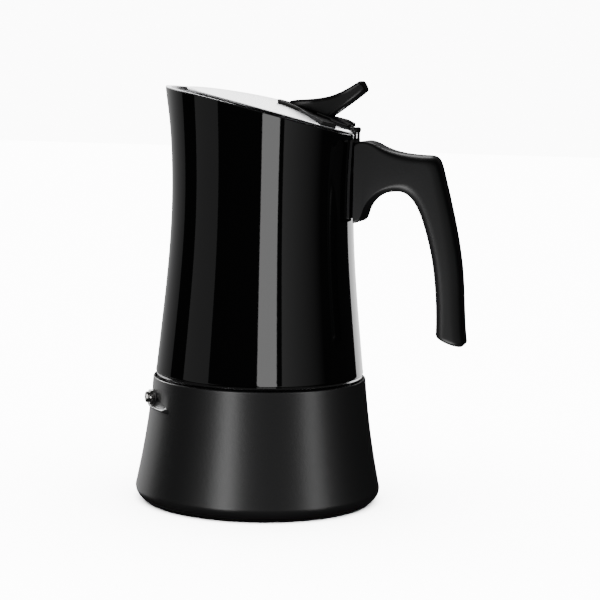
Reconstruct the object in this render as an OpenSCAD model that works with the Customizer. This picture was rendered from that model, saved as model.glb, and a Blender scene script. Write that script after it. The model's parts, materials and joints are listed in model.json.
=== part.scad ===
// Stovetop moka pot, six cups: tapered boiler, waisted collector with a slanted domed lid,
// arched handle, coffee funnel, filter and safety valve.
// Millimetres, +Z up. The origin is the centre of the base plane; +X runs to the handle.

/* [Boiler] */
// Largest radius of the boiler, just above its base
base_r = 52.5; // [50:0.5:55]
// Radius of the boiler at its top edge
boiler_top_r = 45.4; // [45:0.1:47]
// Height of the boiler's top edge
boiler_h = 52.9; // [52:0.1:53]
// Depth of the hollow in the boiler's tapered side
side_hollow = 0.75; // [0:0.05:1.5]
// Radius of the rounded corner at the base
base_corner = 5; // [4:0.5:6]
// Thickness of the steel sheet
sheet = 1; // [0.8:0.1:1.2]
// Radius of the screw neck over its thread
neck_r = 40.4; // [39:0.1:40.5]
// Inner radius of the screw neck
neck_bore_r = 37.6; // [36.5:0.1:38]
// Height of the neck's sealing rim
neck_h = 61.5; // [60:0.5:62]

/* [Safety valve] */
// Direction of the valve round the boiler, in degrees from the handle
valve_angle = 209; // [180:1:240]
// Height of the valve
valve_z = 44.7; // [43:0.1:46]
// Travel of the poppet when it blows off
valve_travel = 1; // [0.8:0.1:1.5]

/* [Funnel] */
// Outer radius of the coffee basket
basket_r = 33.2; // [30:0.1:35]
// Height of the basket's floor
basket_z = 39; // [36:0.5:44]
// Height of the funnel tube's open end
tube_end_z = 9; // [7:0.5:14]

/* [Collector] */
// Height at which the collector's wall starts
wall_z = 54.5; // [54:0.1:55]
// Radius of the wall at its foot
wall_foot_r = 44.4; // [44:0.1:45]
// Radius of the wall at the top of the spout
wall_top_r = 41.2; // [40.5:0.1:42]
// Height of the top of the spout
wall_top_z = 176; // [174:0.5:178]
// Height of the coffee column
column_h = 128; // [110:1:140]

/* [Slanted rim and lid] */
// Height of the rim over the pot's axis
rim_z = 168.35; // [166:0.1:170]
// Slope of the rim at the pot's axis, in degrees
rim_slope = 13; // [11:0.5:14]
// Radius of the rim's gentle crown, seen from the side
rim_crown_r = 389; // [350:1:450]
// Rise of the lid's dome
dome_rise = 1.3; // [0.8:0.1:2]
// Radius of the round lid
lid_r = 40.1; // [39.5:0.1:40.3]

/* [Handle] */
// Width of the handle across the grip
handle_w = 18; // [15:0.5:20]

/* [Hidden] */
$fn = 96;

// Colours
black_gloss = [0.03, 0.03, 0.035];
black_matt = [0.12, 0.12, 0.125];
black_plastic = [0.08, 0.08, 0.085];
steel = [0.78, 0.78, 0.8];
dull_steel = [0.62, 0.62, 0.64];
aluminium = [0.82, 0.82, 0.83];
brass = [0.75, 0.6, 0.3];
silicone = [0.88, 0.87, 0.83];

// Boiler
base_face_r = base_r - base_corner - 1;
widest_z = base_corner + 0.7;
foot_z = 0.5;
floor_z = 4;
groove_z = boiler_h - 1.5;
lip_w = 0.8;
side_steps = 10;
corner_steps = 6;

// Safety valve, along its own axis from the boiler's axis outwards
pad_r = 45.75;
pad_half = 22;
pad_top_z = 48.5;
pad_low_z = 42.3;
ledge_r = 47.75;
ledge_z = 40.4;
pad_in_r = pad_r - 1.35;
spot_x = pad_r - 0.3;
spot_r = 4;
shank_r = 2.2;
washer_r = 3.2;
washer_t = 0.5;
hex_af = 6;
hex_x0 = spot_x + washer_t;
hex_x1 = hex_x0 + 2.1;
cap_r = 2.5;
cap_l = 1.6;
cap_skin = 0.4;
bore_r = 1.5;
vent_r = 0.7;
nut_af = 6.6;
nut_x1 = pad_in_r - 0.4;
nut_x0 = nut_x1 - 1.8;
shank_x0 = nut_x0 - 0.8;
seat_x = shank_x0 + 1;
disc_t = 0.7;
stem_r = 0.45;

// Seal stack above the neck
flange_t = 0.8;
flange_r = 40;
gasket_z = neck_h + flange_t;
gasket_t = 3;
floor_plate_z = gasket_z + gasket_t;
plate_r = 31.4;
ring_bore_r = neck_r + 0.1;
ring_foot_z = boiler_h + 0.3;

// Collector column
column_r = 4.6;
column_bore_r = 3.5;
boss_z = floor_plate_z + 3;
boss_r = 9;
outlet_z = column_h - 5;
outlet_r = 1.8;
column_cap_z = column_h - 10;

// Spout's beak, a leaning cone
beak_x = -37.4;
beak_z = 150;
beak_h = 34;
beak_lean = -3.6;
beak_low_r = 2.2;
beak_top_r = 5.9;

// The rim follows a large cylinder that lies across the pot
crown_x = -rim_crown_r * sin(rim_slope);
crown_z = rim_z - rim_crown_r * cos(rim_slope);
lid_gap = 0.25;
lid_t = 0.8;
lid_top = lid_gap + lid_t;
dome_r = 160;
dome_x = 1;
lid_front_r = 40.5;
lid_front_x = 8;
leaf_t = 1.2;
leaf_x = 14;
leaf_half = 5.2;
leaf_end_x = 37.4;
knob_screw_x = [18, 24.5];
knob_screw_r = 1.3;
knob_screw_top = 4.2;
screw_clear_r = 1.5;
knob_head_t = 0.8;
base_t = 1.6;

// Hinge
hinge_x = 39.9;
hinge_z = 158.8;
knuckle_r = 1.2;
pin_r = 0.7;
knuckle_half = 2.4;
ear_in = 2.8;
ear_out = 4.3;
ear_x0 = 39.6;
ear_t = 1;

// Bracket on the wall
strap_z0 = 122;
strap_z1 = 155;
strap_steps = 8;
strap_t = 1.3;
strap_half = 10.5;

// Handle
handle_face_x = 41;
pocket_z = 118;
pocket_w = 16;
tongue_z = 141;
tongue_t = 3;
tongue_l = 15;
tongue_w = 10;
screw_x = 50.5;
screw_r = 2;
screw_top_z = 146.5;
screw_well_r = 4;
screw_seat_z = 137;
screw_head_t = 3;

// Points of a cubic curve through its first and last control point
function curve(a, b, c, d, n) = [for (i = [0:n]) let (t = i / n, s = 1 - t)
    a * s * s * s + 3 * b * s * s * t + 3 * c * s * t * t + d * t * t * t];

// Points of an arc round a centre
function arc(c, r, a0, a1, n) = [for (i = [0:n]) let (a = a0 + (a1 - a0) * i / n)
    [c[0] + r * cos(a), c[1] + r * sin(a)]];

// Radius of the boiler's outside at height z
function boiler_r(z) = let (t = (z - widest_z) / (boiler_h - widest_z))
    base_r + (boiler_top_r - base_r) * t - side_hollow * 4 * t * (1 - t);

// Outside of the collector's wall, as a curve from foot to spout
wall_a = [wall_foot_r, wall_z];
wall_b = [wall_foot_r - 5.8, wall_z + 55];
wall_c = [wall_top_r - 4.9, wall_top_z - 48];
wall_d = [wall_top_r, wall_top_z];
wall_steps = 14;
function wall_curve() = curve(wall_a, wall_b, wall_c, wall_d, wall_steps);
function inset(points, d) = [for (p = points) [p[0] - d, p[1]]];
function reversed(points) = [for (i = [len(points) - 1:-1:0]) points[i]];

// Radius of the collector's outside at height z, between the curve's points
function wall_r(z) = lookup(z, [for (p = wall_curve()) [p[1], p[0]]]);

// Height of the rim's surface at x
function rim_at(x) = crown_z + sqrt(rim_crown_r * rim_crown_r - (x - crown_x) * (x - crown_x));

// Turns a shape so that its +X axis points out of the boiler along the valve
module along_valve() {
    translate([0, 0, valve_z])
        rotate([0, 0, valve_angle])
            children();
}

// A cylinder along +X from x0 to x1
module rod_x(r, x0, x1) {
    translate([x0, 0, 0])
        rotate([0, 90, 0])
            cylinder(r = r, h = x1 - x0);
}

// A cylinder along +Y from y0 to y1
module rod_y(r, y0, y1) {
    translate([0, y1, 0])
        rotate([90, 0, 0])
            cylinder(r = r, h = y1 - y0);
}

// A hexagon across its flats along +X from x0 to x1
module hex_x(af, x0, x1) {
    translate([x0, 0, 0])
        rotate([0, 90, 0])
            cylinder(r = af / 2 / cos(30), h = x1 - x0, $fn = 6);
}

// Everything below the rim's surface, raised by h
module under_rim(h) {
    translate([crown_x, 0, crown_z])
        rotate([90, 0, 0])
            cylinder(r = rim_crown_r + h, h = 160, center = true, $fn = 360);
}

// Moves to the centre of the lid's dome, tilted with the rim
module to_dome() {
    translate([crown_x, 0, crown_z])
        rotate([0, asin((dome_x - crown_x) / rim_crown_r), 0])
            translate([0, 0, rim_crown_r + lid_top + dome_rise - dome_r])
                children();
}

// Everything below the lid's top surface with its dome, raised by h above the sheet's top
module under_lid(h) {
    under_rim(lid_top + h);
    to_dome()
        sphere(r = dome_r + h, $fn = 180);
}

// A frame on the dome's top at distance x, with its +Z axis square to the dome
module on_dome(x) {
    to_dome()
        rotate([0, asin((x - dome_x) / dome_r), 0])
            translate([0, 0, dome_r])
                children();
}

// A tall prism over a plan outline, through the height of the lid
module over_lid() {
    translate([0, 0, 150])
        linear_extrude(height = 40)
            children();
}

// A ring of n holes along +Z
module hole_ring(n, ring_r, hole_r, z0, z1) {
    for (i = [0:n - 1])
        rotate([0, 0, 360 * i / n])
            translate([ring_r, 0, z0])
                cylinder(r = hole_r, h = z1 - z0, $fn = 24);
}

// Spun boiler with its recessed floor, side, top groove and screw neck
module boiler_body() {
    side = [for (i = [0:side_steps]) let (z = widest_z + (boiler_h - 0.5 - widest_z) * i / side_steps)
        [boiler_r(z), z]];
    corner = arc([base_r - base_corner, foot_z + base_corner], base_corner, -90, 0, corner_steps);
    rotate_extrude($fn = 180)
        polygon(concat(
            [[0, floor_z], [base_face_r + 0.2, floor_z], [base_face_r + 0.2, foot_z]],
            corner,
            side,
            [[boiler_top_r - 0.4, boiler_h], [boiler_top_r - lip_w, boiler_h],
                [boiler_top_r - lip_w, groove_z], [neck_r, groove_z], [neck_r, neck_h - 0.5],
                [neck_r - 0.5, neck_h], [neck_bore_r, neck_h], [neck_bore_r, groove_z - sheet],
                [boiler_r(groove_z - 2) - sheet, groove_z - 2]],
            reversed(inset([for (p = side) if (p[1] < groove_z - 4) p], sheet)),
            [[base_r - base_corner - 0.5, floor_z + sheet], [0, floor_z + sheet]]));
}

// Sector round the valve, half degrees to each side, with a cross-section in radius and height
module pad_sector(half, points) {
    rotate([0, 0, valve_angle - half])
        rotate_extrude(angle = 2 * half, $fn = 180)
            polygon(points);
}

module boiler_shell() {
    wall_in = boiler_r(ledge_z - 1) - 0.6;
    color(black_matt)
        difference() {
            union() {
                boiler_body();
                pad_sector(pad_half, [[pad_in_r, pad_top_z], [pad_in_r, pad_low_z - 1],
                    [wall_in, ledge_z - 1], [boiler_r(ledge_z - 1), ledge_z - 1], [ledge_r, ledge_z],
                    [ledge_r, ledge_z + 1], [pad_r - 0.3, pad_low_z + 1], [pad_r - 0.3, pad_top_z]]);
            }
            pad_sector(pad_half + 0.5, [[pad_r, pad_top_z], [pad_r, pad_low_z],
                [ledge_r + 0.4, ledge_z + 0.4], [ledge_r + 1, pad_top_z]]);
            along_valve() {
                rod_x(shank_r, pad_in_r - 2, pad_r + 2);
                rod_x(spot_r, spot_x, pad_r + 2);
            }
        }
}

module heat_spreader() {
    color(aluminium)
        translate([0, 0, 0.6])
            cylinder(r = base_face_r - 0.65, h = floor_z - 0.6);
}

module base_cap() {
    color(dull_steel)
        rotate_extrude($fn = 180)
            polygon([[0, 0], [base_face_r - 0.6, 0], [base_face_r, 0.6], [base_face_r, floor_z],
                [base_face_r - 0.6, floor_z], [base_face_r - 0.6, 0.6], [0, 0.6]]);
}

// Valve body: hexagon outside the wall, shank through it, stepped bore with a seat
module valve_body() {
    color(brass)
        along_valve()
            difference() {
                union() {
                    hex_x(hex_af, hex_x0, hex_x1);
                    rod_x(shank_r, shank_x0, hex_x0 + 0.1);
                }
                rod_x(vent_r, shank_x0 - 1, hex_x1 + 1);
                rod_x(bore_r, seat_x, hex_x1 + 1);
            }
}

module valve_washer() {
    color(silicone)
        along_valve()
            difference() {
                rod_x(washer_r, spot_x, hex_x0);
                rod_x(shank_r, spot_x - 1, hex_x0 + 1);
            }
}

module valve_nut() {
    color(brass)
        along_valve()
            difference() {
                hex_x(nut_af, nut_x0, nut_x1);
                rod_x(shank_r, nut_x0 - 1, nut_x1 + 1);
            }
}

// Domed cap on the hexagon, with a hole for the poppet's stem
module valve_cap() {
    hole_r = stem_r + 0.15;
    round_r = cap_l - cap_skin;
    color(brass)
        along_valve()
            translate([hex_x1, 0, 0])
                rotate([0, 90, 0])
                    rotate_extrude($fn = 48)
                        polygon(concat([[hole_r, cap_l - cap_skin], [bore_r, cap_l - cap_skin],
                                [bore_r, 0], [cap_r, 0]],
                            arc([cap_r - round_r, cap_skin], round_r, 0, 90, corner_steps),
                            [[hole_r, cap_l]]));
}

module valve_spring() {
    color(steel)
        along_valve()
            difference() {
                rod_x(bore_r - 0.1, seat_x + disc_t + valve_travel + 0.2, hex_x1 + cap_l - cap_skin - 0.05);
                rod_x(bore_r - 0.5, seat_x, hex_x1 + cap_l);
            }
}

// Poppet: disc that closes the vent and a stem that shows through the cap
module valve_poppet() {
    color(steel)
        along_valve() {
            rod_x(bore_r - 0.1, seat_x + 0.1, seat_x + disc_t + 0.1);
            rod_x(stem_r, seat_x + disc_t, hex_x1 + cap_l + 0.3);
        }
}

// Basket for the ground coffee, with its sealing flange
module funnel_basket() {
    wall_t = 0.7;
    color(steel)
        rotate_extrude($fn = 120)
            polygon([[basket_r - wall_t, neck_h + flange_t], [flange_r, neck_h + flange_t],
                [flange_r, neck_h], [basket_r, neck_h], [basket_r, basket_z - 1], [basket_r - 2, basket_z - 1],
                [basket_r - 2, basket_z], [basket_r - wall_t, basket_z]]);
}

// Cone under the basket, running into the tube
module funnel_tube() {
    cone_low = basket_z - 11;
    tube_in = column_r - 0.8;
    color(steel)
        rotate_extrude($fn = 120)
            polygon([[tube_in, tube_end_z], [column_r, tube_end_z], [column_r, cone_low],
                [basket_r - 0.5, basket_z - 2], [basket_r - 0.5, basket_z - 1],
                [basket_r - 2.5, basket_z - 1], [tube_in, cone_low + 1]]);
}

module funnel_strainer() {
    color(steel)
        difference() {
            translate([0, 0, basket_z])
                cylinder(r = basket_r - 0.8, h = 0.8);
            for (k = [1:5])
                hole_ring(6 * k, 5.6 * k, 0.9, basket_z - 1, basket_z + 2);
            hole_ring(1, 0, 0.9, basket_z - 1, basket_z + 2);
        }
}

// Silicone gasket between the funnel's flange and the collector's floor
module gasket() {
    color(silicone)
        rotate_extrude($fn = 120)
            polygon([[plate_r + 0.1, gasket_z], [flange_r + 0.2, gasket_z], [flange_r + 0.2, floor_plate_z],
                [plate_r + 0.1, floor_plate_z]]);
}

// Upper filter plate with a turned rim that the gasket grips
module filter_plate() {
    plate_z = floor_plate_z - 1.4;
    color(steel)
        difference() {
            rotate_extrude($fn = 120)
                polygon([[0, plate_z], [plate_r - 0.8, plate_z], [plate_r - 0.8, gasket_z + 0.2],
                    [plate_r, gasket_z + 0.2], [plate_r, plate_z + 0.8], [0, plate_z + 0.8]]);
            for (k = [1:4])
                hole_ring(6 * k, 6 * k, 0.7, plate_z - 1, plate_z + 2);
            hole_ring(1, 0, 0.7, plate_z - 1, plate_z + 2);
        }
}

// Pinched beak: a leaning cone that swells out of the wall under the rim
module beak(inset_r) {
    translate([beak_x, 0, beak_z])
        rotate([0, beak_lean, 0])
            cylinder(r1 = beak_low_r - inset_r, r2 = beak_top_r - inset_r, h = beak_h, $fn = 60);
}

// Waisted outer wall of the collector, cut along the slanted rim
module collector_shell() {
    outer = wall_curve();
    top = wall_top_z + 8;
    color(black_gloss)
        intersection() {
            difference() {
                union() {
                    rotate_extrude($fn = 180)
                        polygon(concat([[0, wall_z], [wall_foot_r - 0.9, wall_z]],
                            arc([wall_foot_r - 0.9, wall_z + 0.9], 0.9, -90, 0, 4),
                            [for (p = outer) if (p[1] > wall_z + 2) p],
                            [[wall_top_r, top], [0, top]]));
                    beak(0);
                }
                rotate_extrude($fn = 180)
                    polygon(concat([[0, wall_z - 1], [wall_foot_r - sheet, wall_z - 1]],
                        inset(outer, sheet),
                        [[wall_top_r - sheet, top + 1], [0, top + 1]]));
                beak(sheet);
            }
            under_rim(0);
        }
}

// Threaded ring brazed inside the foot of the wall, with its bare bead under the wall
module thread_ring() {
    color(steel)
        rotate_extrude($fn = 180)
            polygon([[ring_bore_r, ring_foot_z + 0.4], [ring_bore_r + 0.4, ring_foot_z],
                [wall_foot_r - 0.9, ring_foot_z], [wall_foot_r - 0.4, ring_foot_z + 0.5],
                [wall_foot_r - 0.4, wall_z - 0.3], [wall_foot_r - 0.7, wall_z],
                [wall_foot_r - sheet - 0.1, wall_z], [wall_r(floor_plate_z) - sheet - 0.1, floor_plate_z],
                [ring_bore_r, floor_plate_z]]);
}

// Floor of the collector: flat seat for the gasket, rising to a boss round the column
module collector_floor() {
    seat_r = wall_r(floor_plate_z + sheet) - sheet - 0.05;
    color(steel)
        rotate_extrude($fn = 120)
            polygon([[column_r, boss_z], [boss_r, boss_z], [plate_r - 1, floor_plate_z],
                [seat_r, floor_plate_z], [seat_r, floor_plate_z + sheet],
                [plate_r - 1, floor_plate_z + sheet], [boss_r, boss_z + sheet],
                [column_r, boss_z + sheet]]);
}

module column() {
    color(steel)
        difference() {
            rotate_extrude($fn = 60)
                polygon([[column_bore_r, boss_z - 1.5], [column_r, boss_z - 1.5],
                    [column_r, boss_z + sheet], [boss_r - 1.5, boss_z + sheet],
                    [boss_r - 1.5, boss_z + 1.8], [column_r + 0.6, boss_z + 3], [column_r, boss_z + 8],
                    [column_r, column_h], [column_bore_r, column_h]]);
            translate([0, 0, outlet_z])
                rod_y(outlet_r, -8, 8);
        }
}

module column_cap() {
    color(steel)
        difference() {
            rotate_extrude($fn = 60)
                polygon(concat([[0, column_h], [column_r, column_h], [column_r, column_cap_z],
                        [column_r + 0.8, column_cap_z]],
                    arc([column_r - 2.2, column_h], 3, 0, 70, corner_steps),
                    [[0, column_h + 3.2]]));
            translate([0, 0, outlet_z])
                rod_y(outlet_r, -8, 8);
        }
}

// Bracket welded up the wall: saddle strap, tongue for the handle and two hinge ears
module handle_bracket() {
    wall_line = [for (i = [0:strap_steps]) let (z = strap_z0 + (strap_z1 - strap_z0) * i / strap_steps)
        [wall_r(z), z]];
    color(black_matt)
        difference() {
            union() {
                rotate([0, 0, -strap_half])
                    rotate_extrude(angle = 2 * strap_half, $fn = 180)
                        polygon(concat(wall_line, reversed(inset(wall_line, -strap_t))));
                translate([wall_r(tongue_z) + 0.4, -tongue_w / 2, tongue_z])
                    cube([tongue_l, tongue_w, tongue_t]);
                for (side = [0, 1])
                    mirror([0, side, 0]) {
                        translate([ear_x0, ear_in, strap_z1 - 2])
                            cube([ear_t, ear_out - ear_in, hinge_z - strap_z1 + 1.6]);
                        translate([hinge_x, 0, hinge_z])
                            rod_y(knuckle_r, ear_in, ear_out);
                    }
            }
            translate([hinge_x, 0, hinge_z])
                rod_y(pin_r, -10, 10);
            translate([screw_x, 0, tongue_z - 1])
                cylinder(r = screw_r, h = tongue_t + 2);
        }
}

module hinge_pin() {
    color(steel)
        translate([hinge_x, 0, hinge_z]) {
            rod_y(pin_r, -ear_out - 0.4, ear_out + 0.4);
            rod_y(pin_r + 0.3, ear_out, ear_out + 0.5);
            rod_y(pin_r + 0.3, -ear_out - 0.5, -ear_out);
        }
}

// Side outline of the handle, clockwise from the top of its pad
function handle_outline() = concat(
    curve([handle_face_x, 153.2], [42.6, 155.4], [47.2, 154.6], [50, 153], 6),
    curve([50, 153], [54.5, 150.6], [60, 149.2], [71.6, 149.1], 6),
    curve([71.6, 149.1], [74.6, 149.1], [75.6, 147.4], [76.6, 144.1], 5),
    curve([76.6, 144.1], [80.6, 129.5], [85.4, 112], [86.5, 97], 8),
    curve([86.5, 97], [87.2, 89], [87.3, 80], [88.3, 73], 4),
    curve([88.3, 73], [88.9, 70], [87.4, 69.3], [82.3, 70.1], 5),
    curve([82.3, 70.1], [79.5, 70.6], [76.8, 72.8], [76.6, 75.9], 5),
    curve([76.6, 75.9], [76.6, 86], [75.6, 101], [72.7, 111.7], 6),
    curve([72.7, 111.7], [69.5, 124], [66, 133.8], [59, 133.8], 8),
    curve([59, 133.8], [51.5, 133.8], [46.8, 130], [45, 124.5], 6),
    curve([45, 124.5], [44.4, 122.4], [44.2, 120.3], [42.9, 120.3], 4),
    [[handle_face_x + 0.6, 120.3], [handle_face_x, 120.9]]);

module handle() {
    color(black_plastic)
        difference() {
            rotate([90, 0, 0])
                linear_extrude(height = handle_w, center = true)
                    polygon(handle_outline());
            translate([handle_face_x - 1, -tongue_w / 2 - 0.1, tongue_z - 0.1])
                cube([tongue_l, tongue_w + 0.2, tongue_t + 0.2]);
            translate([screw_x, 0, screw_seat_z - 1])
                cylinder(r = screw_r, h = screw_top_z + 4.5 - screw_seat_z);
            translate([screw_x, 0, screw_seat_z - 7])
                cylinder(r = screw_well_r, h = 7);
            translate([handle_face_x - 5, -pocket_w / 2, pocket_z])
                cube([5.2, pocket_w, 40]);
        }
}

module handle_screw() {
    color(steel)
        translate([screw_x, 0, screw_seat_z]) {
            translate([0, 0, -screw_head_t])
                cylinder(r = screw_well_r - 0.4, h = screw_head_t);
            cylinder(r = screw_r - 0.05, h = screw_top_z - screw_seat_z);
        }
}

// Plan outline of the lid: round, with a flatter front that leaves the spout open
module lid_outline() {
    difference() {
        intersection() {
            circle(r = lid_r, $fn = 180);
            translate([lid_front_x, 0])
                circle(r = lid_front_r, $fn = 180);
        }
        translate([38, -ear_out - 1])
            square([10, 2 * ear_out + 2]);
    }
}

// Plan outline of the fan-shaped knob base
module fan_outline() {
    polygon([[6, 2], [16, 6.5], [31, 24.4], [35.4, 19], [29.5, 8], [29.5, -8], [35.4, -19],
        [31, -24.4], [16, -6.5], [6, -2]]);
}

// Holes for the lid screws, from under the lid up to the height top above it
module screw_holes(r, top) {
    for (x = knob_screw_x)
        on_dome(x)
            translate([0, 0, -4])
                cylinder(r = r, h = 4 + top);
}

module lid_plate() {
    color(steel)
        difference() {
            intersection() {
                under_lid(0);
                over_lid() lid_outline();
            }
            under_lid(-lid_t);
            screw_holes(screw_clear_r, 2);
        }
}

// Steel strap on top of the lid with the middle knuckle of the hinge
module hinge_leaf() {
    color(black_matt)
        difference() {
            union() {
                difference() {
                    intersection() {
                        under_lid(leaf_t);
                        over_lid()
                            polygon([[leaf_x, leaf_half], [leaf_end_x, leaf_half],
                                [leaf_end_x, knuckle_half], [hinge_x, knuckle_half],
                                [hinge_x, -knuckle_half], [leaf_end_x, -knuckle_half],
                                [leaf_end_x, -leaf_half], [leaf_x, -leaf_half]]);
                    }
                    under_lid(0);
                }
                translate([hinge_x, 0, hinge_z])
                    rod_y(knuckle_r, -knuckle_half, knuckle_half);
            }
            translate([hinge_x, 0, hinge_z])
                rod_y(pin_r + 0.05, -10, 10);
            screw_holes(screw_clear_r, 4);
        }
}

// Tail of the fan-shaped plate, which runs down over the strap
module tail() {
    rotate([90, 0, 0])
        linear_extrude(height = 2 * leaf_half, center = true)
            polygon([[24, 158], [24, 166.2], [29.6, 164.1], [leaf_end_x - 0.2, 160.8],
                [leaf_end_x - 0.2, 156]]);
}

// Fan-shaped plate under the lever
module knob_base() {
    color(black_plastic)
        difference() {
            union() {
                intersection() {
                    under_lid(base_t);
                    over_lid() fan_outline();
                }
                tail();
            }
            under_lid(0);
            intersection() {
                under_lid(leaf_t);
                translate([leaf_x - 0.1, -leaf_half - 0.1, 150])
                    cube([30, 2 * leaf_half + 0.2, 40]);
            }
            screw_holes(screw_clear_r, 4);
        }
}

// Side outline of the thumb lever, from its blunt front over the top to the tip and back
function lever_outline() = concat(
    [[14, 164], [11.6, 169.6]],
    arc([12.6, 169.7], 0.9, 180, 100, 3),
    curve([14, 170.7], [22, 170.9], [31, 173.3], [40.6, 178.8], 8),
    arc([41.6, 176.9], 2.2, 110, -40, 6),
    curve([43, 175], [38, 170.4], [32.8, 166.8], [28.6, 164], 5),
    [[28.6, 158]]);

module knob() {
    color(black_plastic)
        difference() {
            intersection() {
                rotate([90, 0, 0])
                    linear_extrude(height = 30, center = true)
                        polygon(lever_outline());
                over_lid()
                    polygon([[10, 3.4], [13, 4.8], [22, 5.4], [36, 4.9], [46, 5.4], [46, -5.4], [36, -4.9],
                        [22, -5.4], [13, -4.8], [10, -3.4]]);
            }
            under_lid(base_t);
            tail();
            screw_holes(knob_screw_r, knob_screw_top);
        }
}

// Screws from under the lid into the lever, with low round heads
module knob_screws() {
    color(steel)
        for (x = knob_screw_x)
            on_dome(x)
                translate([0, 0, -lid_t - knob_head_t]) {
                    cylinder(r = 2 * knob_screw_r, h = knob_head_t - 0.05);
                    cylinder(r = knob_screw_r, h = knob_head_t + lid_t + knob_screw_top);
                }
}

boiler_shell();
heat_spreader();
base_cap();
valve_body();
valve_washer();
valve_nut();
valve_cap();
valve_spring();
valve_poppet();
funnel_basket();
funnel_tube();
funnel_strainer();
gasket();
filter_plate();
collector_shell();
thread_ring();
collector_floor();
column();
column_cap();
handle_bracket();
hinge_pin();
handle();
handle_screw();
lid_plate();
hinge_leaf();
knob_base();
knob();
knob_screws();
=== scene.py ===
"""Moka pot: finished meshes, materials and studio light over the CAD frame.

Sizes are in millimetres in the pot's own frame and scaled to metres when a mesh is made.
+Z is up, +X runs to the handle, -X to the spout.
"""

import json
import math

import bmesh
import bpy
from mathutils import Matrix, Vector

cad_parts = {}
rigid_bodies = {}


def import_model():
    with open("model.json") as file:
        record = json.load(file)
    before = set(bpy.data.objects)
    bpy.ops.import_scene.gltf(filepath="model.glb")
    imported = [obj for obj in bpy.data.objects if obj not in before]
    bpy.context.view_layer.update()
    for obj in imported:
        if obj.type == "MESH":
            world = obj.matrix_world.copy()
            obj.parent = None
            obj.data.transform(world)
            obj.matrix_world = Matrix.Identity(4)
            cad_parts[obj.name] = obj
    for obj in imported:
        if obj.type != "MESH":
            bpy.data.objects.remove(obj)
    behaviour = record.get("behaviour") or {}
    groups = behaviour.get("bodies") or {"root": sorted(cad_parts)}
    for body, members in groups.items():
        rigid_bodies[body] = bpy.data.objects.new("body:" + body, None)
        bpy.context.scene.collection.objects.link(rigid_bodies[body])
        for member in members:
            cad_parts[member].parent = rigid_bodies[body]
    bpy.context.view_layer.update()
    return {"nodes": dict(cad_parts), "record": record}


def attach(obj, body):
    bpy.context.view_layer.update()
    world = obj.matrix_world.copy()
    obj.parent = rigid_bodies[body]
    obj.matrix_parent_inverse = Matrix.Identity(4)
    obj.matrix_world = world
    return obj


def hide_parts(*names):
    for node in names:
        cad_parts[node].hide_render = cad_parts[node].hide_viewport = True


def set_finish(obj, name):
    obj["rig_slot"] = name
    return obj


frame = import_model()

MM = 0.001
TURN = 2 * math.pi
ROUND_STEPS = 288
SHEET = 1.0

# Boiler
BASE_R = 52.5
RECESS_R = 46.7
FLOOR_Z = 4
BASE_CORNER = 5
WIDEST_Z = 5.7
FOOT_Z = 0.5
BOILER_TOP_R = 45.4
BOILER_H = 52.9
GROOVE_Z = BOILER_H - 1.5
SIDE_HOLLOW = 0.75
LIP = 0.8
NECK_R = 40.4
NECK_BORE_R = 37.6
NECK_H = 61.5
THREAD_PITCH = 3.0
THREAD_DEPTH = 0.9

# Safety valve
VALVE_ANGLE = math.radians(209)
VALVE_Z = 44.7
PAD_R = 45.75
PAD_HALF = math.radians(22)
LEDGE_R = 47.75
LEDGE_Z = 40.4

# Collector
WALL_Z = 54.5
WALL_FOOT_R = 44.4
WALL_CURVE = ((WALL_FOOT_R, WALL_Z), (38.6, 109.5), (36.3, 128), (41.2, 176))
WALL_RINGS = 90
LIP_STEPS = 6
LIP_RISE = 0.5
SPOUT_OUT = 1.6
SPOUT_HALF = math.radians(16)
SPOUT_DEPTH = 26
RIM_SLOPE = math.radians(13)
RIM_CROWN_R = 389
RIM_Z = 168.35
CROWN_X = -RIM_CROWN_R * math.sin(RIM_SLOPE)
CROWN_Z = RIM_Z - RIM_CROWN_R * math.cos(RIM_SLOPE)

# Lid
LID_R = 40.1
LID_FRONT_R = 40.5
LID_FRONT_X = 8
LID_CORNER = 1.2
LID_TOP = 1.05
LID_SHEET = 0.8
HEM = 1.5
DOME_RISE = 1.3

# Hinge
HINGE_X = 39.9
HINGE_Z = 158.8
PIN_R = 0.7
PIN_HALF = 4.45
NOTCH_X = 38
NOTCH_HALF = 5.3

# Handle and lever
HANDLE_W = 18
HANDLE_FACE_X = 41
PAD_ROUND = 1.2
GRIP_ROUND = 5.0
TIP_ROUND = 2.2
LEVER_ROUND = 1.9
LEVER_END = 0.9

# Studio
BACKDROP = 14.0
FLOOR_LIGHT = 48.0
FLOOR_REACH = 4000
CAMERA_AZIMUTH = 15
CAMERA_DISTANCE = 800
CAMERA_Z = 179.1
LOW = -2.4
STEELS = (
    "lid_steel", "inner_steel", "spring_steel", "valve_brass", "base_steel", "aluminium_core"
)


# ---------------------------------------------------------------- curves

def bezier(a, b, c, d, t):
    """Point at t on a cubic curve with control points a, b, c and d."""
    s = 1 - t
    return tuple(
        s**3 * a[i] + 3 * s * s * t * b[i] + 3 * s * t * t * c[i] + t**3 * d[i] for i in range(len(a))
    )


def curve(a, b, c, d, steps):
    """Points along a cubic curve, both ends included."""
    return [bezier(a, b, c, d, i / steps) for i in range(steps + 1)]


def arc(cx, cy, r, start, end, steps):
    """Points of an arc from start to end, in degrees."""
    turns = [math.radians(start + (end - start) * i / steps) for i in range(steps + 1)]
    return [(cx + r * math.cos(t), cy + r * math.sin(t)) for t in turns]


def along(points, count):
    """count points evenly spaced along a polyline."""
    runs = [0.0]
    for p, q in zip(points, points[1:]):
        runs.append(runs[-1] + math.dist(p, q))
    out = []
    k = 0
    for i in range(count):
        s = runs[-1] * i / (count - 1)
        while k < len(points) - 2 and runs[k + 1] < s:
            k += 1
        f = (s - runs[k]) / (runs[k + 1] - runs[k])
        out.append(tuple(a + (b - a) * f for a, b in zip(points[k], points[k + 1])))
    return out


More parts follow.
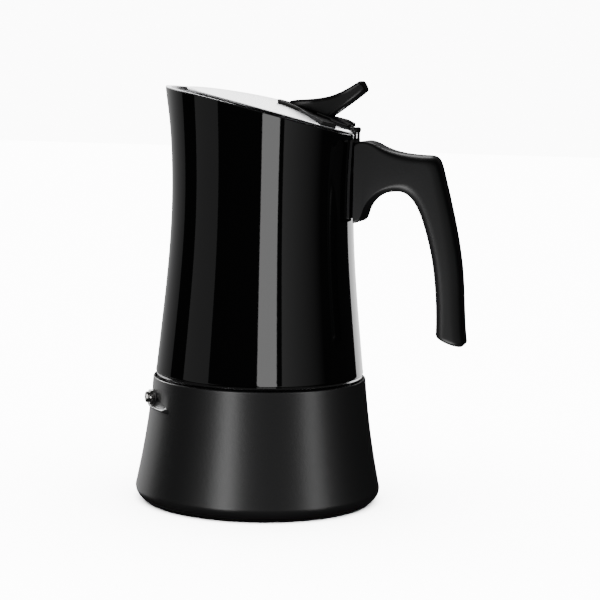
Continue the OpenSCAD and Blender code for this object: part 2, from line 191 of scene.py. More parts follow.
def smoothstep(low, high, x):
    """0 at low, 1 at high, with an easy start and end; low may be the larger."""
    t = min(max((x - low) / (high - low), 0.0), 1.0)
    return t * t * (3 - 2 * t)


def wall_r(z):
    """Outer radius of the collector's wall at height z, before the spout is formed."""
    low, high = 0.0, 1.0
    for _ in range(24):
        mid = (low + high) / 2
        if bezier(*WALL_CURVE, mid)[1] < z:
            low = mid
        else:
            high = mid
    return bezier(*WALL_CURVE, low)[0]


def boiler_r(z):
    """Outer radius of the boiler's tapered side at height z."""
    t = (z - WIDEST_Z) / (BOILER_H - WIDEST_Z)
    return BASE_R + (BOILER_TOP_R - BASE_R) * t - SIDE_HOLLOW * 4 * t * (1 - t)


def rim_z(x, lift=0.0):
    """Height of the slanted rim's surface at x, raised square to itself by lift."""
    return CROWN_Z + math.sqrt((RIM_CROWN_R + lift) ** 2 - (x - CROWN_X) ** 2)


# ---------------------------------------------------------------- meshes

def piece(name, verts, faces, body, replaced=(), slot=None, crease=40):
    """A mesh object from millimetre vertices, riding on a body and standing for CAD nodes."""
    mesh = bpy.data.meshes.new(name)
    mesh.from_pydata([Vector(v) * MM for v in verts], [], faces)
    work = bmesh.new()
    work.from_mesh(mesh)
    bmesh.ops.remove_doubles(work, verts=work.verts, dist=1e-7)
    bmesh.ops.recalc_face_normals(work, faces=work.faces)
    work.to_mesh(mesh)
    work.free()
    obj = bpy.data.objects.new(name, mesh)
    bpy.context.scene.collection.objects.link(obj)
    mesh.shade_smooth()
    mesh.set_sharp_from_angle(angle=math.radians(crease))
    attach(obj, body)
    if replaced:
        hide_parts(*replaced)
    if slot:
        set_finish(obj, slot)
    return obj


def rings_to_mesh(rings, around=True, cap_start=False, cap_end=False, loop=False):
    """Vertices and quads joining rings that all hold the same number of points."""
    n = len(rings[0])
    verts = [p for ring in rings for p in ring]
    faces = []
    pairs = len(rings) if loop else len(rings) - 1
    for i in range(pairs):
        a, b = i * n, ((i + 1) % len(rings)) * n
        for k in range(n if around else n - 1):
            m = (k + 1) % n
            faces.append((a + k, a + m, b + m, b + k))
    if cap_start:
        faces.append(tuple(range(n)))
    if cap_end:
        faces.append(tuple(range((len(rings) - 1) * n, len(rings) * n)))
    return verts, faces


def spun(profile, steps, loop=True, shape=None):
    """Rings of a (radius, height) profile turned about Z; shape(angle, r, z) may move a point."""
    rings = []
    for r, z in profile:
        ring = []
        for k in range(steps):
            a = TURN * k / steps
            rr, zz = shape(a, r, z) if shape else (r, z)
            ring.append((rr * math.cos(a), rr * math.sin(a), zz))
        rings.append(ring)
    return rings_to_mesh(rings, loop=loop)


def rounded_box(half_w, half_h, radius, corner_steps=6):
    """Points of a rounded rectangle about the origin, anticlockwise."""
    radius = min(radius, half_w - 0.01, half_h - 0.01)
    x, y = half_w - radius, half_h - radius
    points = []
    for cx, cy, start in ((x, y, 0), (-x, y, 90), (-x, -y, 180), (x, -y, 270)):
        points += arc(cx, cy, radius, start, start + 90, corner_steps)
    return points


def bake(obj):
    """Applies an object's modifiers to its mesh."""
    graph = bpy.context.evaluated_depsgraph_get()
    mesh = bpy.data.meshes.new_from_object(obj.evaluated_get(graph))
    obj.modifiers.clear()
    obj.data = mesh
    mesh.shade_smooth()
    mesh.set_sharp_from_angle(angle=math.radians(50))


# ---------------------------------------------------------------- boiler

def boiler_shell():
    """Spun boiler: recessed foot, soft corner, hollow taper, top lip, groove and threaded neck."""
    heights = [WIDEST_Z + (BOILER_H - 0.6 - WIDEST_Z) * i / 190 for i in range(191)]
    corner_r = BASE_R - BASE_CORNER
    profile = [(0.01, FLOOR_Z), (RECESS_R, FLOOR_Z), (RECESS_R, FOOT_Z + 0.3)]
    profile += [(RECESS_R + 0.4, FOOT_Z)]
    profile += arc(corner_r, FOOT_Z + BASE_CORNER, BASE_CORNER, -88, -2, 14)
    profile += [(boiler_r(z), z) for z in heights]
    profile += arc(BOILER_TOP_R - 0.42, BOILER_H - 0.42, 0.42, 10, 170, 8)
    profile += [(BOILER_TOP_R - LIP - 0.05, GROOVE_Z), (NECK_R, GROOVE_Z)]
    profile += neck_profile()
    profile += [(NECK_BORE_R, NECK_H), (NECK_BORE_R, GROOVE_Z - SHEET)]
    low = GROOVE_Z - 2
    inner = [low - (GROOVE_Z - 12) * i / 20 for i in range(21)]
    profile += [(boiler_r(z) - SHEET, z) for z in inner]
    profile += [(corner_r - 0.5, FLOOR_Z + SHEET), (0.01, FLOOR_Z + SHEET)]
    mesh = spun(profile, ROUND_STEPS, loop=False, shape=valve_pad)
    return piece("boiler_body", *mesh, "boiler", ["boiler_shell"], "boiler_coat")


def neck_profile():
    """Outside of the screw neck, with rounded thread crests."""
    points = []
    z = GROOVE_Z + 1.5
    while z < NECK_H - 1.4:
        turn = (z - GROOVE_Z) / THREAD_PITCH * TURN
        points.append((NECK_R - THREAD_DEPTH * (0.5 - 0.5 * math.cos(turn)), z))
        z += THREAD_PITCH / 12
    return points + arc(NECK_R - 0.5, NECK_H - 0.5, 0.5, 0, 90, 4)


def valve_pad(angle, r, z):
    """Presses the upright pad and its flared ledge into the side, round the valve."""
    off = abs((angle - VALVE_ANGLE + math.pi) % TURN - math.pi)
    if off > PAD_HALF or r < 44.0 or not LEDGE_Z - 1.2 < z < 50:
        return r, z
    inside = smoothstep(LEDGE_Z - 0.35, LEDGE_Z, z) * (1 - smoothstep(49.2, 49.8, z))
    flare = smoothstep(LEDGE_Z + 2.2, LEDGE_Z + 0.4, z)
    upright = (PAD_R - r) * (1 - smoothstep(PAD_HALF * 0.6, PAD_HALF, off)) * (1 - flare)
    ledge = (LEDGE_R - r) * (1 - smoothstep(PAD_HALF * 0.85, PAD_HALF, off)) * flare
    return r + (upright + ledge) * inside, z


# ---------------------------------------------------------------- valve

SPOT_X = PAD_R - 0.3
HEX_X0 = SPOT_X + 0.5
HEX_X1 = HEX_X0 + 2.1
HEX_AF = 6.0
CAP_R = 2.5
CAP_L = 1.6
SEAT_X = PAD_R - 3.35
DISC_R = 1.4
DISC_T = 0.7
STEM_R = 0.45


def at_valve(x, across, up):
    """A point along the valve's axis, outwards from the boiler's own axis."""
    c, s = math.cos(VALVE_ANGLE), math.sin(VALVE_ANGLE)
    return x * c - across * s, x * s + across * c, VALVE_Z + up


def valve_rings(profile, steps=64, corner=None):
    """Rings of (radius, x) turned about the valve's axis; corner(angle) scales the radius."""
    rings = []
    for r, x in profile:
        ring = []
        for k in range(steps):
            a = TURN * k / steps
            rr = min(r, corner(a)) if corner else r
            ring.append(at_valve(x, rr * math.cos(a), rr * math.sin(a)))
        rings.append(ring)
    return rings_to_mesh(rings, cap_start=True, cap_end=True)


def hexagon(angle):
    """Distance from the axis to the side of the hexagon at an angle."""
    off = (angle % (TURN / 6)) - TURN / 12
    return HEX_AF / 2 / math.cos(off)


def valve_hexagon():
    """Hexagon with turned chamfers on both faces."""
    corner_r = HEX_AF / 2 / math.cos(TURN / 12)
    profile = [(2.0, HEX_X0 - 0.3), (corner_r - 0.5, HEX_X0 + 0.02), (corner_r, HEX_X0 + 0.25)]
    profile += [(corner_r, HEX_X1 - 0.3), (corner_r - 0.45, HEX_X1), (2.0, HEX_X1)]
    mesh = valve_rings(profile, 96, hexagon)
    return piece("valve_hexagon", *mesh, "boiler", ["valve_body"], "valve_brass", crease=25)


def valve_cap():
    """Turned cap with a groove at its foot and a domed end."""
    profile = [(CAP_R - 0.35, HEX_X1 - 0.1), (CAP_R - 0.35, HEX_X1 + 0.25), (CAP_R, HEX_X1 + 0.4)]
    profile += [(CAP_R - 1.0 + x, HEX_X1 + 0.6 + y) for x, y in arc(0, 0, 1.0, 0, 90, 10)]
    profile += [(0.6, HEX_X1 + CAP_L)]
    return piece("valve_dome", *valve_rings(profile), "boiler", ["valve_cap"], "valve_brass", crease=35)


def valve_stem():
    """Rounded end of the poppet's stem, with the disc inside."""
    low, high = SEAT_X + 0.1, SEAT_X + 0.1 + DISC_T
    end = HEX_X1 + CAP_L + 0.3
    profile = [(DISC_R, low), (DISC_R, high), (STEM_R, high), (STEM_R, end - 0.2)]
    profile += [(STEM_R - 0.15, end - 0.05), (0.1, end)]
    mesh = valve_rings(profile, 32)
    return piece("valve_stem", *mesh, "poppet", ["valve_poppet"], "spring_steel", crease=35)


# ---------------------------------------------------------------- collector

def spout(angle, z, rim):
    """How far the spout's beak stands out of the round wall, near the rim at -X."""
    off = abs(angle % TURN - math.pi)
    fall = math.exp(-(off / SPOUT_HALF) ** 2)
    return SPOUT_OUT * fall * smoothstep(rim - SPOUT_DEPTH, rim, z) ** 1.5


def round_ring(r, z):
    """One plain ring about the pot's axis."""
    turns = [TURN * k / ROUND_STEPS for k in range(ROUND_STEPS)]
    return [(r * math.cos(a), r * math.sin(a), z) for a in turns]


def wall_point(angle, share):
    """Outer radius and height of the wall at an angle, share of the way up to the rim."""
    foot = WALL_Z + 0.9
    r = 40.0
    for _ in range(4):
        rim = rim_z(r * math.cos(angle)) - LIP_RISE
        z = foot + (rim - foot) * share
        r = wall_r(z) + spout(angle, z, rim)
    return r, z


def collector_ring(share, inset):
    """One ring of the wall, share of the way from its foot to the slanted rim."""
    ring = []
    for k in range(ROUND_STEPS):
        a = TURN * k / ROUND_STEPS
        r, z = wall_point(a, share)
        ring.append(((r - inset) * math.cos(a), (r - inset) * math.sin(a), z))
    return ring


def lip_ring(step):
    """One ring of the rolled rim, from the outside over the top to the inside."""
    turn = math.pi * step / LIP_STEPS
    ring = []
    for k in range(ROUND_STEPS):
        a = TURN * k / ROUND_STEPS
        r, z = wall_point(a, 1)
        r += SHEET / 2 * (math.cos(turn) - 1)
        ring.append((r * math.cos(a), r * math.sin(a), z + LIP_RISE * math.sin(turn)))
    return ring


def wall_rings(inset, start=0, down=False):
    """Rings of the whole wall at one inset, from the foot up or the rim down."""
    shares = [i / WALL_RINGS for i in range(start, WALL_RINGS + 1)]
    return [collector_ring(1 - share if down else share, inset) for share in shares]


def collector_shell():
    """Lacquered outside of the waisted wall, up to its rolled rim."""
    foot = [(WALL_FOOT_R - 0.45, WALL_Z)]
    foot += arc(WALL_FOOT_R - 0.9, WALL_Z + 0.9, 0.9, -70, 0, 6)
    rings = [round_ring(r, z) for r, z in foot]
    rings += wall_rings(0, start=1) + wall_rings(SHEET / 2, down=True)
    mesh = rings_to_mesh(rings, loop=True)
    return piece("collector_wall", *mesh, "collector", ["collector_shell"], "body_lacquer")


def collector_inside():
    """Bare inside of the wall and its rolled rim."""
    rings = wall_rings(SHEET / 2) + [lip_ring(i) for i in range(LIP_STEPS + 1)]
    rings += wall_rings(SHEET, start=1, down=True)
    mesh = rings_to_mesh(rings, loop=True)
    return piece("collector_inside", *mesh, "collector", ["collector_shell"], "inner_steel")


def thread_ring():
    """Bare steel ring under the wall, with a rounded bead."""
    profile = [(40.5, 53.8)] + arc(41.2, 53.8, 0.6, 180, 270, 4) + arc(43.3, 53.9, 0.7, -90, 0, 6)
    profile += [(44.0, 54.45), (43.3, 54.5), (43.0, 65.3), (40.5, 65.3)]
    return piece("ring", *spun(profile, 240), "collector", ["thread_ring"], "inner_steel")


# ---------------------------------------------------------------- lid

def lid_reach(angle):
    """Radius of the lid's plan outline, with softened front corners and the hinge's notch."""
    front = LID_FRONT_X * math.cos(angle) + math.sqrt(
        LID_FRONT_R**2 - (LID_FRONT_X * math.sin(angle)) ** 2
    )
    gap = front - LID_R
    reach = LID_R + 0.5 * (gap - math.hypot(gap, LID_CORNER))
    if math.cos(angle) > 0 and abs(reach * math.sin(angle)) < NOTCH_HALF:
        return min(reach, NOTCH_X / math.cos(angle))
    return reach


def lid_ring(inset, drop, share=1.0, dome=False):
    """One ring of the lid, drop below its top; share shrinks it towards the middle."""
    ring = []
    for k in range(ROUND_STEPS):
        a = TURN * k / ROUND_STEPS
        r = (lid_reach(a) - inset) * share
        x, y = r * math.cos(a), r * math.sin(a)
        rise = DOME_RISE * (1 - share * share) if dome else 0.0
        ring.append((x, y, rim_z(x, LID_TOP) + rise - drop))
    return ring


def lid():
    """Pressed steel lid: domed top, a fine crease and a turned-down hem."""
    shares = [0.001] + [i / 40 for i in range(1, 38)] + [0.96, 0.985, 1.0]
    hem = ((1.35, 0.28), (1.15, 0.3), (0.95, 0.08), (0.7, 0), (0.4, 0.03), (0.12, 0.2), (0.0, 0.45))
    hem += ((0.05, 0.7), (0.3, 0.8), (0.8, 0.8), (1.6, 0.75))
    rings = [lid_ring(HEM, 0, share, dome=True) for share in shares]
    rings += [lid_ring(inset, drop) for inset, drop in hem]
    rings += [lid_ring(HEM, LID_SHEET, share, dome=True) for share in shares[-2::-1]]
    return piece("lid_sheet", *rings_to_mesh(rings), "lid", ["lid_plate"], "lid_steel", crease=60)


# ---------------------------------------------------------------- handle

def handle_sides():
    """Outer and inner edge of the handle in side view, matched point for point."""
    outer = curve((HANDLE_FACE_X, 153.0), (42.6, 155.4), (47.2, 154.6), (50, 153), 12)
    outer += curve((50, 153), (54.5, 150.6), (60, 149.2), (71.6, 149.1), 16)[1:]
    outer += curve((71.6, 149.1), (74.6, 149.1), (75.6, 147.4), (76.6, 144.1), 10)[1:]
    outer += curve((76.6, 144.1), (80.6, 129.5), (85.4, 112), (86.5, 97), 16)[1:]
    outer += curve((86.5, 97), (87.2, 89), (87.3, 80), (88.5, 71.7), 10)[1:]
    inner = curve((HANDLE_FACE_X, 120.3), (44.2, 120.3), (44.4, 122.4), (45, 124.5), 10)
    inner += curve((45, 124.5), (46.8, 130), (51.5, 133.8), (59, 133.8), 14)[1:]
    inner += curve((59, 133.8), (66, 133.8), (69.5, 124), (72.7, 111.7), 16)[1:]
    inner += curve((72.7, 111.7), (75.6, 101), (76.6, 86), (76.5, 75.8), 16)[1:]
    return outer, inner


def handle():
    """Moulded handle: rounded section lofted between its outer and inner edges."""
    outer, inner = handle_sides()
    stations = 90
    outer, inner = along(outer, stations), along(inner, stations)
    rings = []
    for i, (o, n) in enumerate(zip(outer, inner)):
        grip = smoothstep(0, 0.3, i / (stations - 1))
        rings.append(handle_section(o, n, 0.0, PAD_ROUND + (GRIP_ROUND - PAD_ROUND) * grip))
    o, n = Vector(outer[-1]), Vector(inner[-1])
    down = Vector((-0.22, -1)).normalized()
    for k in range(1, 9):
        turn = math.pi / 2 * k / 8
        drop = down * TIP_ROUND * math.sin(turn)
        shrink = TIP_ROUND * (1 - math.cos(turn))
        rings.append(handle_section(o + drop, n + drop, shrink, GRIP_ROUND))
    mesh = rings_to_mesh(rings, cap_start=True, cap_end=True)
    return piece("handle_grip", *mesh, "collector", ["handle"], "handle_plastic", crease=50)


def handle_section(o, n, shrink, radius):
    """Rounded section across the handle between an outer and an inner point of its side view."""
    mid = ((o[0] + n[0]) / 2, (o[1] + n[1]) / 2)
    half = math.dist(o, n) / 2 - shrink
    ux, uz = (o[0] - n[0]) / math.dist(o, n), (o[1] - n[1]) / math.dist(o, n)
    ring = []
    for w, h in rounded_box(HANDLE_W / 2 - shrink, half, radius, 8):
        ring.append((mid[0] + ux * h, w, mid[1] + uz * h))
    return ring


# ---------------------------------------------------------------- lever and hinge

def lever_sides():
    """Top and underside of the thumb lever in side view, matched point for point."""
    top = curve((12.0, 170.3), (14, 171.1), (22, 170.9), (28.5, 172.6), 12)
    top += curve((28.5, 172.6), (33, 173.9), (37, 176.4), (41.2, 179.0), 12)[1:]
    under = curve((12.2, 167.4), (17, 166.8), (23, 165.6), (28.4, 163.6), 12)
    under += curve((28.4, 163.6), (33.6, 167.2), (38.4, 170.6), (43.4, 174.9), 12)[1:]
    return top, under


def lever_half(share):
    """Half width of the lever along its length: narrow front, full middle, slight waist."""
    waist = math.sin(math.pi * smoothstep(0.45, 1, share))
    return 3.4 + 2.0 * smoothstep(0, 0.35, share) - 0.5 * waist


def lever():
    """Thumb lever lofted between its top and underside, with rolled edges and blunt ends."""
    top, under = lever_sides()
    stations = 64
    top, under = along(top, stations), along(under, stations)
    last = stations - 1
    rings = lever_end(top, under, 0, 1)[::-1]
    rings += [lever_section(top[i], under[i], lever_half(i / last), 0) for i in range(stations)]
    rings += lever_end(top, under, last, -1)
    mesh = rings_to_mesh(rings, cap_start=True, cap_end=True)
    return piece("thumb_lever", *mesh, "lid", ["knob"], "knob_plastic", crease=50)


def lever_end(top, under, i, way):
    """Rings that round off one end of the lever, moving outwards."""
    near = i + 6 * way
    dx = (top[i][0] + under[i][0] - top[near][0] - under[near][0]) / 2
    dz = (top[i][1] + under[i][1] - top[near][1] - under[near][1]) / 2
    run = math.hypot(dx, dz)
    half = lever_half(0 if i == 0 else 1)
    rings = []
    for k in range(1, 7):
        turn = math.pi / 2 * k / 6
        out = LEVER_END * math.sin(turn) / run
        shift = (dx * out, dz * out)
        t = (top[i][0] + shift[0], top[i][1] + shift[1])
        u = (under[i][0] + shift[0], under[i][1] + shift[1])
        rings.append(lever_section(t, u, half, LEVER_END * (1 - math.cos(turn))))
    return rings


def lever_section(t, u, half_w, shrink):
    """Rounded section between a top and an underside point; the top edges roll more softly."""
    mid = ((t[0] + u[0]) / 2, (t[1] + u[1]) / 2)
    reach = math.dist(t, u)
    half = reach / 2 - shrink
    ux, uz = (t[0] - u[0]) / reach, (t[1] - u[1]) / reach
    ring = []
    for w, h in rounded_box(half_w - shrink, half, LEVER_ROUND, 7):
        crown = 0.45 * (1 - (w / half_w) ** 2) if h > 0 else 0
        ring.append((mid[0] + ux * (h + crown - 0.3), w, mid[1] + uz * (h + crown - 0.3)))
    return ring


def softened(node, name, body, slot, voxel=0.22, rounds=5):
    """A moulded or pressed piece: the CAD solid with all its edges rounded over."""
    source = frame["nodes"][node]
    obj = bpy.data.objects.new(name, source.data.copy())
    obj.matrix_world = source.matrix_world
    bpy.context.scene.collection.objects.link(obj)
    obj.data.materials.clear()
    remesh = obj.modifiers.new("even", "REMESH")
    remesh.mode = "VOXEL"
    remesh.voxel_size = voxel * MM
    relax = obj.modifiers.new("round", "SMOOTH")
    relax.iterations = rounds
    relax.factor = 0.5
    bake(obj)
    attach(obj, body)
    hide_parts(node)
    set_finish(obj, slot)
    return obj


def hinge_pin():
    """Pin through the knuckles with domed, upset heads."""
    half = PIN_HALF
    profile = [(0.3, -half - 0.35), (0.65, -half - 0.2), (1.0, -half + 0.1), (0.95, -half + 0.35)]
    profile += [(PIN_R, -half + 0.37)]
    profile += [(r, -y) for r, y in profile[::-1]]
    turns = [TURN * k / 40 for k in range(40)]
    rings = []
    for r, y in profile:
        rings.append([(HINGE_X + r * math.cos(a), y, HINGE_Z + r * math.sin(a)) for a in turns])
    mesh = rings_to_mesh(rings, cap_start=True, cap_end=True)
    return piece("pin", *mesh, "collector", ["hinge_pin"], "hinge_steel")


# ---------------------------------------------------------------- materials

def shader(name):
    """A fresh node material and its Principled shader."""
    mat = bpy.data.materials.new(name)
    mat.use_nodes = True
    return mat, mat.node_tree, mat.node_tree.nodes["Principled BSDF"]


def add(tree, kind, **values):
    """A node with its inputs or properties set by name."""
    node = tree.nodes.new(kind)
    for key, value in values.items():
        if key in node.inputs:
            node.inputs[key].default_value = value
        else:
            setattr(node, key, value)
    return node


def grain(tree, bsdf, scale, strength, distance, stretch=(1, 1, 1), detail=4.0):
    """Fine relief from noise in object space."""
    place = add(tree, "ShaderNodeTexCoord")
    size = add(tree, "ShaderNodeMapping")
    size.inputs["Scale"].default_value = stretch
    tree.links.new(place.outputs["Object"], size.inputs["Vector"])
    noise = add(tree, "ShaderNodeTexNoise", Scale=scale, Detail=detail)
    tree.links.new(size.outputs["Vector"], noise.inputs["Vector"])
    bump = add(tree, "ShaderNodeBump", Strength=strength, Distance=distance)
    tree.links.new(noise.outputs["Fac"], bump.inputs["Height"])
    tree.links.new(bump.outputs["Normal"], bsdf.inputs["Normal"])
    return noise


def varied(tree, bsdf, socket, noise, low, high):
    """Drives a shader input between two values from a noise."""
    spread = add(tree, "ShaderNodeMapRange")
    spread.inputs["To Min"].default_value = low
    spread.inputs["To Max"].default_value = high
    tree.links.new(noise.outputs["Fac"], spread.inputs["Value"])
    tree.links.new(spread.outputs["Result"], bsdf.inputs[socket])


def lacquer():
    """High-gloss black lacquer."""
    mat, tree, bsdf = shader("gloss_lacquer")
    bsdf.inputs["Base Color"].default_value = (0.0035, 0.0035, 0.0037, 1)
    bsdf.inputs["Roughness"].default_value = 0.04
    bsdf.inputs["IOR"].default_value = 1.5
    grain(tree, bsdf, 900, 0.02, 0.0001)
    return mat


def powder_coat():
    """Matt black coating with a fine orange-peel texture."""
    mat, tree, bsdf = shader("matt_coat")
    bsdf.inputs["Base Color"].default_value = (0.018, 0.018, 0.0185, 1)
    noise = grain(tree, bsdf, 2600, 0.25, 0.00012, detail=3)
    varied(tree, bsdf, "Roughness", noise, 0.3, 0.38)
    return mat


def plastic(name, colour, rough):
    """Moulded heat-proof plastic with a fine satin grain."""
    mat, tree, bsdf = shader(name)
    bsdf.inputs["Base Color"].default_value = (*colour, 1)
    noise = grain(tree, bsdf, 3200, 0.2, 0.0001, detail=2)
    varied(tree, bsdf, "Roughness", noise, rough - 0.04, rough + 0.05)
    return mat


def metal(name, colour, rough, stretch=(1, 1, 1), scale=1500, strength=0.08):
    """Brushed or spun metal; stretch draws the grain out along an axis."""
    mat, tree, bsdf = shader(name)
    bsdf.inputs["Base Color"].default_value = (*colour, 1)
    bsdf.inputs["Metallic"].default_value = 1
    noise = grain(tree, bsdf, scale, strength, 0.00008, stretch)
    varied(tree, bsdf, "Roughness", noise, rough * 0.8, rough * 1.25)
    return mat


def rubber(name, colour):
    """Soft matt rubber."""
    mat, tree, bsdf = shader(name)
    bsdf.inputs["Base Color"].default_value = (*colour, 1)
    noise = grain(tree, bsdf, 1800, 0.15, 0.0001)
    varied(tree, bsdf, "Roughness", noise, 0.5, 0.65)
    return mat


def paint(obj, mat):
    """Puts one material on a new piece or a CAD node."""
    if not obj.data.materials:
        obj.data.materials.append(mat)
    for slot in obj.material_slots:
        slot.link = "OBJECT"
        slot.material = mat


# ---------------------------------------------------------------- build

MATERIALS = {
    "body_lacquer": lacquer(),
    "boiler_coat": powder_coat(),
    "handle_plastic": plastic("handle_plastic", (0.009, 0.009, 0.0095), 0.42),
    "knob_plastic": plastic("knob_plastic", (0.008, 0.008, 0.0085), 0.3),
    "lid_steel": metal("lid_steel", (0.62, 0.62, 0.63), 0.28),
    "inner_steel": metal("inner_steel", (0.6, 0.6, 0.61), 0.22, (1, 1, 12)),
    "spring_steel": metal("bright_steel", (0.66, 0.66, 0.67), 0.12),
    "base_steel": metal("base_steel", (0.42, 0.42, 0.43), 0.35),
    "aluminium_core": metal("aluminium", (0.75, 0.75, 0.76), 0.35),
    "valve_brass": metal("nickel_brass", (0.66, 0.65, 0.63), 0.16),
    "hinge_steel": plastic("hinge_paint", (0.012, 0.012, 0.0125), 0.3),
    "silicone": rubber("silicone", (0.68, 0.66, 0.6)),
    "valve_seal": rubber("valve_seal", (0.12, 0.12, 0.12)),
}

for make, slot in (
    (collector_shell, "body_lacquer"),
    (collector_inside, "inner_steel"),
    (boiler_shell, "boiler_coat"),
    (thread_ring, "inner_steel"),
    (lid, "lid_steel"),
    (handle, "handle_plastic"),
    (valve_hexagon, "valve_brass"),
    (valve_cap, "valve_brass"),
    (valve_stem, "spring_steel"),
    (lever, "knob_plastic"),
    (hinge_pin, "hinge_steel"),
):
    paint(make(), MATERIALS[slot])

for node, name, body, slot in (
    ("knob_base", "fan_plate", "lid", "knob_plastic"),
    ("hinge_leaf", "leaf", "lid", "hinge_steel"),
    ("handle_bracket", "bracket", "collector", "hinge_steel"),
):
    paint(softened(node, name, body, slot), MATERIALS[slot])

for part in frame["record"]["subparts"]:
    paint(frame["nodes"][part["node"]], MATERIALS[part["material_slot"]])


# ---------------------------------------------------------------- camera

def camera():
    """Long lens from the handle's side, a little above the rim, with the picture's slight tilt."""
    data = bpy.data.cameras.new("camera")
    data.sensor_width = 36
    data.lens = 113.2
    data.clip_end = 20
    cam = bpy.data.objects.new("camera", data)
    bpy.context.scene.collection.objects.link(cam)
    azimuth = math.radians(CAMERA_AZIMUTH)
    yaw = math.radians(1.19)
    pitch = math.radians(6.66)
    roll = math.radians(1.2)
    x, y = CAMERA_DISTANCE * math.sin(azimuth), -CAMERA_DISTANCE * math.cos(azimuth)
    look = Vector((-math.sin(azimuth - yaw), math.cos(azimuth - yaw), 0)) * math.cos(pitch)
    look.z = -math.sin(pitch)
    cam.location = Vector((x, y, CAMERA_Z)) * MM
    turn = look.to_track_quat("-Z", "Y").to_matrix().to_4x4() @ Matrix.Rotation(roll, 4, "Z")
    cam.rotation_mode = "QUATERNION"
    cam.rotation_quaternion = turn.to_quaternion()
    bpy.context.scene.camera = cam


camera()


# ---------------------------------------------------------------- studio

def emitter(name, strength, size, place, target, receivers, blockers=None):
    """A rectangular softbox at place, facing target, that lights only the receivers."""
    data = bpy.data.lights.new(name, "AREA")
    data.shape = "RECTANGLE"
    data.size, data.size_y = size
    data.energy = strength
    lamp = bpy.data.objects.new(name, data)
    bpy.context.scene.collection.objects.link(lamp)
    lamp.location = place
    aim = Vector(target) - Vector(place)
    lamp.rotation_mode = "QUATERNION"
    lamp.rotation_quaternion = aim.to_track_quat("-Z", "Y")
    lamp.visible_camera = False
    lamp.light_linking.receiver_collection = receivers
    if blockers:
        lamp.light_linking.blocker_collection = blockers
    return lamp


def floor():
    """Wide pale floor."""
    r = FLOOR_REACH
    verts = [(-r, -r, 0), (r, -r, 0), (r, r, 0), (-r, r, 0)]
    mesh = bpy.data.meshes.new("floor")
    mesh.from_pydata([Vector(v) * MM for v in verts], [], [(0, 1, 2, 3)])
    obj = bpy.data.objects.new("floor", mesh)
    bpy.context.scene.collection.objects.link(obj)
    mat, _, bsdf = shader("paper")
    bsdf.inputs["Base Color"].default_value = (0.9, 0.9, 0.9, 1)
    bsdf.inputs["Roughness"].default_value = 0.9
    obj.data.materials.append(mat)
    obj.visible_glossy = False
    obj.visible_diffuse = False
    return obj


def floor_light(ground):
    """Wide, soft daylight on the floor alone, which leaves a faint shadow at the pot's foot."""
    data = bpy.data.lights.new("floor_light", "SUN")
    data.energy = FLOOR_LIGHT
    data.angle = math.radians(100)
    sun = bpy.data.objects.new("floor_light", data)
    bpy.context.scene.collection.objects.link(sun)
    sun.location.z = 2
    sun.light_linking.receiver_collection = gathered("ground", [ground])


def around(azimuth, distance, height):
    """A place at a compass angle from the camera's side, in metres."""
    a = math.radians(azimuth + CAMERA_AZIMUTH)
    return distance * math.sin(a), -distance * math.cos(a), height


def strip(name, receivers, azimuth, span, radiance, distance=1.6, low=-0.5, high=1.6, lean=0):
    """An upright softbox that covers span degrees round the pot, centred on azimuth."""
    width = 2 * distance * math.tan(math.radians(span / 2))
    tall = high - low
    x, y, z = around(azimuth, distance, (low + high) / 2)
    lamp = emitter(name, radiance * width * tall, (width, tall), (x, y, z), (0, 0, z), receivers)
    tilt = Matrix.Rotation(math.radians(lean), 4, "Z").to_quaternion()
    lamp.rotation_quaternion = lamp.rotation_quaternion @ tilt
    return lamp


def faded(lamp, start, end):
    """Grades a softbox's brightness across its width."""
    lamp.data.use_nodes = True
    tree = lamp.data.node_tree
    place = add(tree, "ShaderNodeNewGeometry")
    split = add(tree, "ShaderNodeSeparateXYZ")
    spread = add(tree, "ShaderNodeMapRange")
    spread.inputs["To Min"].default_value = start
    spread.inputs["To Max"].default_value = end
    tree.links.new(place.outputs["Parametric"], split.inputs["Vector"])
    tree.links.new(split.outputs["X"], spread.inputs["Value"])
    tree.links.new(spread.outputs["Result"], tree.nodes["Emission"].inputs["Strength"])


def gathered(name, pieces):
    """A collection of pieces that a light may be linked to."""
    group = bpy.data.collections.new(name)
    for obj in pieces:
        group.objects.link(obj)
    return group


def by_slot(*slots):
    """Every shown piece and CAD node whose finish is one of these slots."""
    nodes = {p["node"] for p in frame["record"]["subparts"] if p["material_slot"] in slots}
    found = [frame["nodes"][n] for n in sorted(nodes)]
    found += [o for o in bpy.context.scene.objects if o.get("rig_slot") in slots]
    return found


def world():
    """White backdrop for the camera, near-black studio for everything else."""
    made = bpy.data.worlds.new("studio")
    made.use_nodes = True
    tree = made.node_tree
    path = add(tree, "ShaderNodeLightPath")
    white = add(tree, "ShaderNodeBackground", Strength=BACKDROP)
    dark = add(tree, "ShaderNodeBackground", Strength=0.02)
    mix = add(tree, "ShaderNodeMixShader")
    tree.links.new(path.outputs["Is Camera Ray"], mix.inputs["Fac"])
    tree.links.new(dark.outputs["Background"], mix.inputs[1])
    tree.links.new(white.outputs["Background"], mix.inputs[2])
    tree.links.new(mix.outputs["Shader"], tree.nodes["World Output"].inputs["Surface"])
    bpy.context.scene.world = made


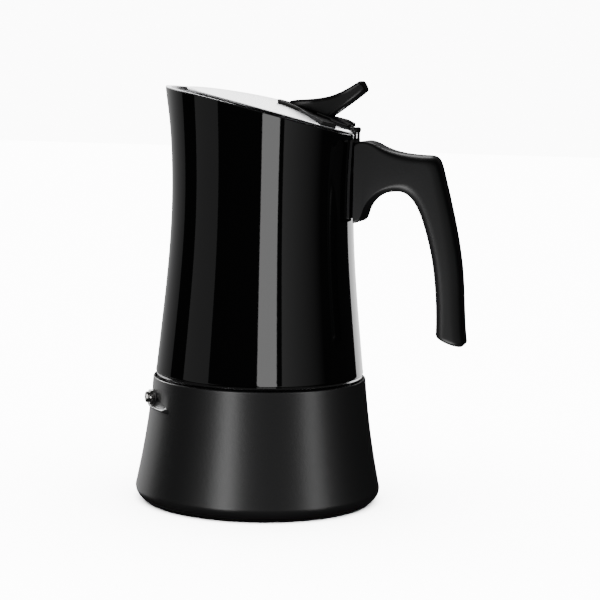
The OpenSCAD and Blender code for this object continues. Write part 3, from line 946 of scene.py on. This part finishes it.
def gloss_lights():
    """Reflections in the lacquer: a key strip, soft edges and a bright far side."""
    gloss = gathered("gloss", by_slot("body_lacquer"))
    strip("key_strip", gloss, 8.5, 21, 13.0, distance=1.8, low=LOW, lean=2.5)
    faded(strip("soft_right", gloss, 50, 52, 2.0, low=LOW), 1.0, 0.0)
    strip("dim_left", gloss, -74, 34, 1.1, low=LOW)
    faded(strip("wall_left", gloss, -147, 66, 1.2, low=LOW), 1.6, 0.5)
    strip("edge_right", gloss, 152, 36, 9.0, distance=1.4)


def coat_lights():
    """Soft streaks on the boiler's matt coat and a glint on the valve's ledge."""
    coat = gathered("coat", by_slot("boiler_coat"))
    strip("coat_left", coat, -31, 14, 26.0)
    strip("coat_right", coat, 55, 16, 13.0)
    strip("coat_edge", coat, -146, 56, 3.0)
    emitter("coat_ledge", 10, (0.25, 0.25), around(-138, 1.2, 0.5), (0, 0, 0.04), coat)
    strip("coat_front", coat, 10, 150, 0.5, distance=2.0)


def moulded_lights():
    """Light for the black plastic, with a bounce from below the table for the handle's arch."""
    moulded = gathered("moulded", by_slot("handle_plastic", "knob_plastic", "hinge_steel"))
    strip("moulded_left", moulded, -80, 40, 8.0)
    strip("moulded_front", moulded, 10, 150, 1.0, distance=2.0)
    emitter("moulded_top", 9, (0.7, 0.7), around(170, 0.9, 1.3), (0, 0, 0.15), moulded)
    low = around(-35, 0.6, -0.6)
    emitter("bounce", 10, (0.9, 0.5), low, (0.06, 0, 0.12), moulded, blockers=moulded)


def steel_lights():
    """A graded card over the lid, side lights for bare steel, and the valve's own highlights."""
    steels = gathered("steels", by_slot(*STEELS))
    card = emitter("steel_card", 60, (1.8, 1.2), around(176, 1.5, 0.9), (0, 0, 0.17), steels)
    faded(card, 1.0, 0.25)
    strip("steel_left", steels, -150, 60, 3.0)
    strip("steel_right", steels, 140, 40, 7.0)
    rims = [o for o in bpy.context.scene.objects if o.name in ("lid_sheet", "collector_inside")]
    strip("rim_left", gathered("rims", rims), -70, 80, 5.0, high=0.6)
    valve = gathered("valve", by_slot("valve_brass", "spring_steel"))
    strip("valve_left", valve, -58, 40, 12.0)
    strip("valve_right", valve, 36, 40, 2.2)


def studio():
    """Each finish has its own softboxes, placed where their reflections belong on it."""
    gloss_lights()
    coat_lights()
    moulded_lights()
    steel_lights()
    rest = gathered("rest", by_slot("silicone", "valve_seal"))
    emitter("fill", 14, (1.2, 1.2), (0.2, -0.9, 1.2), (0, 0, 0.1), rest)


floor_light(floor())
world()
studio()
